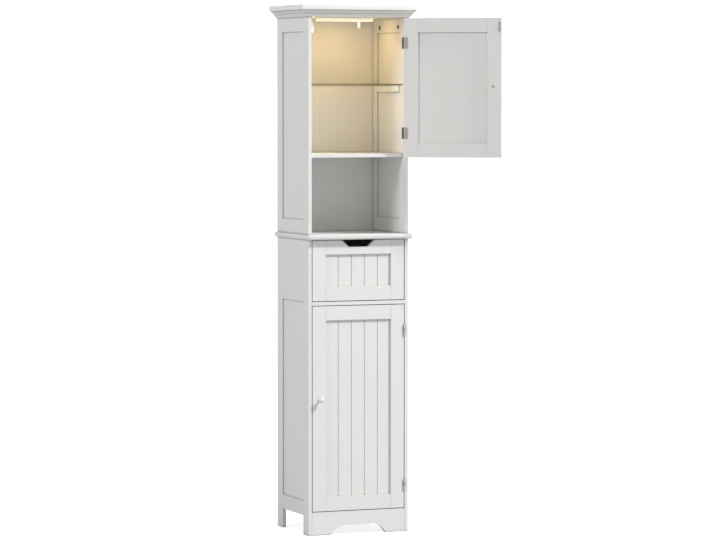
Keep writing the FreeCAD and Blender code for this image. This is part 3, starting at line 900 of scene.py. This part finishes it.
coveShape = {
    "carcass": (0.1725, -0.141, 0.141),  # half its width, its front and its rear
    "out": (0.0275, 0.018),              # how far the top board stands out at the sides and the front
    "foot": 1.661,
    "smooth": 30.0,
    "profile": [  # height above the foot and distance out at the sides, in mm
        (0.0, 2.2), (0.4, 3.4), (1.4, 4.7), (2.8, 5.9), (4.4, 7.0), (6.2, 8.2), (8.0, 9.4), (9.6, 10.6),
        (10.5, 11.4), (10.8, 11.4), (10.9, 10.6), (11.7, 10.7), (11.9, 11.6), (13.4, 12.9), (15.0, 14.4),
        (16.6, 16.0), (18.1, 17.7), (19.4, 19.4), (20.3, 20.8), (20.6, 21.4), (20.7, 22.0), (23.0, 22.0),
    ],
}


def stackCove():
    half, front, rear = coveShape["carcass"]
    outX, outY = coveShape["out"]
    pickOnly()
    bpy.ops.mesh.primitive_plane_add(size=1, location=(0, (front + rear) / 2, coveShape["foot"]))
    block = bpy.context.object
    block.scale = (2 * half, rear - front, 1)
    bpy.ops.object.transform_apply(location=True, rotation=True, scale=True)
    bpy.ops.object.mode_set(mode="EDIT")
    lastRise, lastShare = 0.0, 0.0
    for step, (rise, out) in enumerate(coveShape["profile"]):
        share = out * millimetre / outX
        bpy.ops.mesh.select_mode(type="VERT")
        if step:
            selectVertices(lambda co: co.z > coveShape["foot"] + lastRise * millimetre - tolerance)
            lift = (0, 0, (rise - lastRise) * millimetre)
            bpy.ops.mesh.extrude_region_move(TRANSFORM_OT_translate={"value": lift})
        level = coveShape["foot"] + rise * millimetre
        wide = (half + outX * share) / (half + outX * lastShare)
        bpy.ops.mesh.select_all(action="DESELECT")
        selectVertices(lambda co: same(co.z, level))
        bpy.ops.transform.resize(value=(wide, 1, 1), center_override=(0, 0, 0))
        selectVertices(lambda co: same(co.z, level) and co.y < 0)
        bpy.ops.transform.translate(value=(0, -outY * (share - lastShare), 0))
        lastRise, lastShare = rise, share
    return block


def cutCove(planes):
    for point, normal in planes:
        bpy.ops.mesh.select_all(action="SELECT")
        bpy.ops.mesh.bisect(plane_co=point, plane_no=normal, use_fill=True, clear_outer=True)
    bpy.ops.mesh.select_all(action="SELECT")
    bpy.ops.mesh.normals_make_consistent(inside=False)


def makeCoves():
    half, front, rear = coveShape["carcass"]
    outX, outY = coveShape["out"]
    smooth = coveShape["smooth"]
    strip = stackCove()
    mitres = [((side * half, front, 0), (side * outY, outX, 0)) for side in (-1, 1)]
    cutCove([((0, front, 0), (0, 1, 0))] + mitres)
    bpy.ops.object.mode_set(mode="OBJECT")
    finishPiece(strip, "coveFront", "white_paint", "cabinet", angle=smooth)
    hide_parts("front_moulding")
    sides = []
    for side in (-1, 1):
        sides.append(stackCove())
        cutCove([((side * half, 0, 0), (-side, 0, 0)), ((side * half, front, 0), (-side * outY, -outX, 0))])
        bpy.ops.object.mode_set(mode="OBJECT")
    strips = finishPiece(joinPieces(sides), "coveSides", "white_paint", "cabinet", angle=smooth)
    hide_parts("side_mouldings")


makeCoves()
print("cove moulding cut and mitred")


# Turned knobs

knobShape = {
    "x": -0.1325,
    "faceY": -0.141,
    "heights": {"upper": 1.440, "lower": 0.4373},
    "steps": 48,
    "smooth": 60.0,
    "rings": [  # distance out from the door and radius, in mm
        (0.0, 6.2), (0.5, 6.6), (1.4, 6.6), (2.1, 6.0), (2.9, 5.0), (4.6, 4.55), (7.0, 4.4), (9.4, 4.7),
        (11.2, 5.6), (12.4, 7.2), (13.2, 8.3), (14.2, 8.85), (15.4, 9.0), (16.6, 8.8), (18.0, 8.1),
        (19.4, 6.9), (20.6, 5.3), (21.4, 3.6), (21.85, 1.9), (22.0, 0.0),
    ],
}


def turnKnob(level):
    knob = turnRings(knobShape["rings"], knobShape["steps"])
    knob.rotation_euler = (math.radians(90), 0, 0)
    knob.location = (knobShape["x"], knobShape["faceY"], knobShape["heights"][level])
    if level == "upper":
        bpy.context.view_layer.update()
        swingOpen(knob)
    finishPiece(knob, f"{level}TurnedKnob", "knob", f"{level}_door", angle=knobShape["smooth"])
    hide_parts(f"{level}_knob")


turnKnob("upper")
turnKnob("lower")
print("knobs turned")


# Screws: countersunk, pan head and bolt, each with a cross recess, copied to every place

screwShape = {  # rings and recesses in mm
    "sunk": [(-1.3, 1.2), (-0.12, 2.25), (0.0, 2.15)],
    "pan": [
        (-1.0, 1.5), (0.0, 1.5), (0.0, 2.6), (0.35, 2.6), (0.8, 2.35), (1.15, 1.8), (1.3, 1.1), (1.33, 0.0),
    ],
    "bolt": [
        (-9.0, 2.0), (0.0, 2.0), (0.0, 4.0), (0.6, 4.0), (1.2, 3.7), (1.65, 3.0), (1.9, 2.0), (2.0, 0.0),
    ],
    "steps": 28,
    "cross": {"sunk": (2.6, 0.62, 0.7), "pan": (3.0, 0.72, 0.8), "bolt": (4.4, 1.0, 1.1)},
    "crossTaper": (0.5, 0.6, 1.0),
    "crossTurn": 20.0,
}


def crossCutters(length, width, depth, top):
    arms = []
    for turn in (0, 90):
        arm = makeBlock((-length / 2, -width / 2, top - depth), (length / 2, width / 2, top + depth))
        bpy.ops.object.mode_set(mode="EDIT")
        bpy.ops.mesh.select_mode(type="VERT")
        selectVertices(lambda co: co.z < top * millimetre)
        foot = (0, 0, (top - depth) * millimetre)
        bpy.ops.transform.resize(value=screwShape["crossTaper"], center_override=foot)
        bpy.ops.object.mode_set(mode="OBJECT")
        arm.rotation_euler = (0, 0, math.radians(turn + screwShape["crossTurn"]))
        bpy.context.view_layer.update()
        arms.append(arm)
    return arms


def turnScrew(kind):
    rings = screwShape[kind]
    screw = turnRings(rings, screwShape["steps"])
    cutAway(screw, crossCutters(*screwShape["cross"][kind], rings[-1][0]))
    return screw


screws = {kind: turnScrew(kind) for kind in ("sunk", "pan", "bolt")}
facing = {"left": (0, -90, 0), "right": (0, 90, 0), "back": (-90, 0, 0)}  # from a screw's own upward axis
print("screws turned")


# Butt hinges, modelled closed about their own axis and then copied to each place

hingeShape = {  # in mm
    "half": 18.0,  # half the height
    "step": 6.0,   # half the height of a knuckle
    "barrel": 3.0,
    "barrelRound": (0.25, 0.2),  # inward and along the axis
    "barrelSteps": 32,
    "play": 0.1,   # taken off each end of a knuckle
    "leaf": (0.15, 0.85),  # from the axis plane to the two faces of a leaf
    "front": 3.2,          # the front faces of the carcass and door, behind the axis
    "frameWidth": 25.0,
    "wrap": (19.2, 19.9),  # the two faces of the leaf behind the door
    "wrapReach": 13.85,
    "corner": 2.0,
    "cornerSteps": 6,
    "bend": 0.6,
    "bendSteps": 4,
    "frameNotch": (-2.0, 2.0),  # the sides of the block that cuts a leaf away beside the other's knuckle
    "doorNotch": (-3.0, 1.0),
    "notchFront": -2.0,
    "notchPast": 1.0,
    "screws": (-11.5, 0.0, 11.5),
    "frameScrew": 14.2,
    "doorScrew": -7.6,
    "sink": [(-1.0, 1.5), (0.0, 2.4), (0.4, 2.8)],
    "pin": [(-18.6, 0.8), (-18.45, 1.15), (-18.1, 1.38), (18.1, 1.38), (18.45, 1.15), (18.6, 0.8)],
    "pinSteps": 24,
}


def knuckle(low, high):
    radius, play, (inward, along) = hingeShape["barrel"], hingeShape["play"], hingeShape["barrelRound"]
    low, high = low + play, high - play
    rings = [(low, radius - inward), (low + along, radius), (high - along, radius), (high, radius - inward)]
    return turnRings(rings, hingeShape["barrelSteps"])


def sinkHoles(rings, places, turn):
    cutter = turnRings(rings, screwShape["steps"])
    cutters = [copyTo(cutter, place, turn) for place in places]
    bpy.data.objects.remove(cutter)
    return cutters


def frameScrewPlaces():
    return [(hingeShape["leaf"][0], hingeShape["frameScrew"], z) for z in hingeShape["screws"]]


def doorScrewPlaces():
    return [(hingeShape["doorScrew"], hingeShape["wrap"][1], z) for z in hingeShape["screws"]]


def modelFrameLeaf():
    half, step, (near, far) = hingeShape["half"], hingeShape["step"], hingeShape["leaf"]
    leaf = makeBlock((near, 0, -half), (far, hingeShape["frameWidth"], half))
    bpy.ops.object.mode_set(mode="EDIT")
    tip = hingeShape["frameWidth"] * millimetre
    selectEdges(lambda a, b: same(a.y, tip) and same(b.y, tip) and not same(a.x, b.x))
    bpy.ops.mesh.bevel(offset=hingeShape["corner"] * millimetre, segments=hingeShape["cornerSteps"])
    bpy.ops.object.mode_set(mode="OBJECT")
    left, right = hingeShape["frameNotch"]
    notch = makeBlock((left, hingeShape["notchFront"], -step), (right, hingeShape["front"], step))
    cutAway(leaf, [notch] + sinkHoles(hingeShape["sink"], frameScrewPlaces(), facing["left"]))
    return leaf


def modelFrameKnuckles():
    half, step = hingeShape["half"], hingeShape["step"]
    return joinPieces([knuckle(-half, -step), knuckle(step, half)])


def modelDoorLeaf():
    half, step, (near, far) = hingeShape["half"], hingeShape["step"], hingeShape["leaf"]
    bendStart, bendEnd = [v * millimetre for v in hingeShape["wrap"]]
    leaf = makeBlock((-far, 0, -half), (-near, hingeShape["wrap"][0], half))
    bpy.ops.object.mode_set(mode="EDIT")
    bpy.ops.mesh.select_mode(type="FACE")
    selectFaces(lambda co: co.y > bendStart - tolerance)
    bpy.ops.mesh.extrude_region_move(TRANSFORM_OT_translate={"value": (0, bendEnd - bendStart, 0)})
    selectFaces(lambda co: co.y > bendStart - tolerance and co.x < -far * millimetre + tolerance)
    reach = (hingeShape["wrapReach"] - far) * millimetre
    bpy.ops.mesh.extrude_region_move(TRANSFORM_OT_translate={"value": (-reach, 0, 0)})
    bpy.ops.mesh.select_mode(type="EDGE")
    tip = -hingeShape["wrapReach"] * millimetre
    selectEdges(lambda a, b: same(a.x, tip) and same(b.x, tip) and not same(a.y, b.y))
    bpy.ops.mesh.bevel(offset=hingeShape["corner"] * millimetre, segments=hingeShape["cornerSteps"])
    outer = -near * millimetre
    selectEdges(lambda a, b: min(a.x, b.x) > outer - tolerance and min(a.y, b.y) > bendEnd - tolerance)
    bpy.ops.mesh.bevel(offset=hingeShape["bend"] * millimetre, segments=hingeShape["bendSteps"])
    bpy.ops.object.mode_set(mode="OBJECT")
    left, right = hingeShape["doorNotch"]
    past = half + hingeShape["notchPast"]
    notches = [
        makeBlock((left, hingeShape["notchFront"], low), (right, hingeShape["front"], high))
        for low, high in ((-past, -step), (step, past))
    ]
    cutAway(leaf, notches + sinkHoles(hingeShape["sink"], doorScrewPlaces(), facing["back"]))
    return joinPieces([leaf, knuckle(-step, step)])


def hingeCentres(level):
    low, high = [corner[2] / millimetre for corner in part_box(f"{level}_hinge_leaves")]
    return low + hingeShape["half"], high - hingeShape["half"]


def atHinge(place, centre):
    return place[0] + hingeLine["x"] / millimetre, place[1] + hingeLine["y"] / millimetre, place[2] + centre


def hangDoor(level, frameLeaf, frameKnuckles, doorLeaf, pin):
    frameLeaves, knuckles, doorLeaves, pins, frameScrews, doorScrews = [], [], [], [], [], []
    for centre in hingeCentres(level):
        frameLeaves.append(copyTo(frameLeaf, atHinge((0, 0, 0), centre)))
        knuckles.append(copyTo(frameKnuckles, atHinge((0, 0, 0), centre)))
        doorLeaves.append(copyTo(doorLeaf, atHinge((0, 0, 0), centre)))
        pins.append(copyTo(pin, atHinge((0, 0, 0), centre)))
        for place in frameScrewPlaces():
            frameScrews.append(copyTo(screws["sunk"], atHinge(place, centre), facing["left"]))
        for place in doorScrewPlaces():
            doorScrews.append(copyTo(screws["sunk"], atHinge(place, centre), facing["back"]))
    if level == "upper":
        for piece in doorLeaves + doorScrews:
            swingOpen(piece)
    leaves = finishPiece(joinPieces(doorLeaves), f"{level}DoorLeaves", "hinge_steel", f"{level}_door")
    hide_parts(f"{level}_hinge_leaves")
    finishPiece(joinPieces(doorScrews), f"{level}LeafScrews", "screw_steel", f"{level}_door")
    return frameLeaves, knuckles, pins, frameScrews


def makeHinges():
    pin = turnRings(hingeShape["pin"], hingeShape["pinSteps"])
    models = modelFrameLeaf(), modelFrameKnuckles(), modelDoorLeaf(), pin
    frameLeaves, knuckles, pins, frameScrews = [
        upper + lower for upper, lower in zip(hangDoor("upper", *models), hangDoor("lower", *models))
    ]
    leaves = finishPiece(joinPieces(frameLeaves), "frameLeaves", "hinge_steel", "cabinet", nearBlackLeaf)
    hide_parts("hinge_frame_leaves")
    finishPiece(joinPieces(knuckles), "frameKnuckles", "hinge_steel", "cabinet", barrelSteel)
    pinSet = finishPiece(joinPieces(pins), "hingePinSet", "hinge_steel", "cabinet")
    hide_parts("hinge_pins")
    finishPiece(joinPieces(frameScrews), "frameLeafScrews", "screw_steel", "cabinet")
    for model in models:
        bpy.data.objects.remove(model)


makeHinges()
print("hinges folded, bored and hung")


# Strike plates, knob bolts, catch screws and cam locks

strikeShape = {  # in mm
    "across": (-157.5, -148.5),
    "deep": (-125.0, -124.0),
    "half": 15.0,
    "centres": {"upper": 1630.5, "lower": 708.5},
    "corner": 1.6,
    "cornerSteps": 5,
    "screws": (-151.3, (-10.0, 10.0)),
    "sink": [(-1.5, 1.3), (0.0, 2.35), (0.4, 2.75)],
}


def makeStrike(level):
    (left, right), (front, back), half = strikeShape["across"], strikeShape["deep"], strikeShape["half"]
    centre = strikeShape["centres"][level]
    plate = makeBlock((left, front, centre - half), (right, back, centre + half))
    bpy.ops.object.mode_set(mode="EDIT")
    selectEdges(lambda a, b: not same(a.y, b.y))
    bpy.ops.mesh.bevel(offset=strikeShape["corner"] * millimetre, segments=strikeShape["cornerSteps"])
    bpy.ops.object.mode_set(mode="OBJECT")
    x, rises = strikeShape["screws"]
    places = [(x, back, centre + rise) for rise in rises]
    cutAway(plate, sinkHoles(strikeShape["sink"], places, facing["back"]))
    heads = joinPieces([copyTo(screws["sunk"], place, facing["back"]) for place in places])
    if level == "upper":
        swingOpen(plate)
        swingOpen(heads)
    finishPiece(plate, f"{level}StrikePlate", "plate_steel", f"{level}_door")
    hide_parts(f"{level}_strike")
    finishPiece(heads, f"{level}StrikeScrews", "screw_steel", f"{level}_door")


def makeKnobBolt(level):
    place = (knobShape["x"] / millimetre, strikeShape["deep"][0], knobShape["heights"][level] / millimetre)
    bolt = copyTo(screws["bolt"], place, facing["back"])
    if level == "upper":
        swingOpen(bolt)
    finishPiece(bolt, f"{level}KnobBolt", "screw_steel", f"{level}_door")
    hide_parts(f"{level}_knob_screw")


catchScrews = {"x": -146.2, "y": -115.6, "centres": (705.5, 1627.5), "spread": 11.0}
camShape = {
    "rings": [
        (-2.5, 7.3), (-0.35, 7.35), (0.0, 7.0), (0.0, 6.1),
        (-0.5, 5.9), (-0.5, 5.0), (-0.05, 4.8), (0.0, 4.6),
    ],
    "steps": 40,
    "cross": (6.4, 1.5, 1.4),
    "x": 161.3,
    "y": (-84.5, 73.5),
    "z": 1632.0,
}


def makeFixings():
    heads = []
    for centre in catchScrews["centres"]:
        for side in (-1, 1):
            place = (catchScrews["x"], catchScrews["y"], centre + side * catchScrews["spread"])
            heads.append(copyTo(screws["pan"], place, facing["right"]))
    finishPiece(joinPieces(heads), "catchScrews", "screw_steel", "cabinet")

    cam = turnRings(camShape["rings"], camShape["steps"])
    cutAway(cam, crossCutters(*camShape["cross"], 0.0))
    discs = []
    for y in camShape["y"]:
        discs.append(copyTo(cam, (camShape["x"], y, camShape["z"]), facing["left"]))
        discs.append(copyTo(cam, (-camShape["x"], y, camShape["z"]), facing["right"]))
    bpy.data.objects.remove(cam)
    finishPiece(joinPieces(discs), "camLocks", "screw_steel", "cabinet", nearBlackCams)


for level in ("upper", "lower"):
    makeStrike(level)
    makeKnobBolt(level)
makeFixings()
for model in screws.values():
    bpy.data.objects.remove(model)
print("strikes, bolts, catch screws and cam locks placed")


# Light of the lamp bar

lampGlow = {
    "colour": (1.0, 0.60, 0.14),
    "panels": {  # place, size, turn in degrees and power
        "Down": ((-0.003, -0.017, 1.6485), (0.19, 0.018), (0, 0, 0), 0.30),
        "Back": ((-0.003, -0.0045, 1.6545), (0.19, 0.008), (80, 0, 0), 0.028),
        "Right": ((0.1, -0.017, 1.6545), (0.008, 0.018), (0, -75, 0), 0.010),
        "Left": ((-0.106, -0.017, 1.6545), (0.008, 0.018), (0, 75, 0), 0.006),
    },
}


def lightLamp():
    for side, (place, size, turn, power) in lampGlow["panels"].items():
        bpy.ops.object.light_add(type="AREA", location=place)
        glow = bpy.context.object
        glow.rotation_euler = [math.radians(angle) for angle in turn]
        glow.name = f"lampGlow{side}"
        glow.data.shape = "RECTANGLE"
        glow.data.size, glow.data.size_y = size
        glow.data.energy = power
        glow.data.color = lampGlow["colour"]
        glow.visible_camera = False


lightLamp()
print("lamp lit")
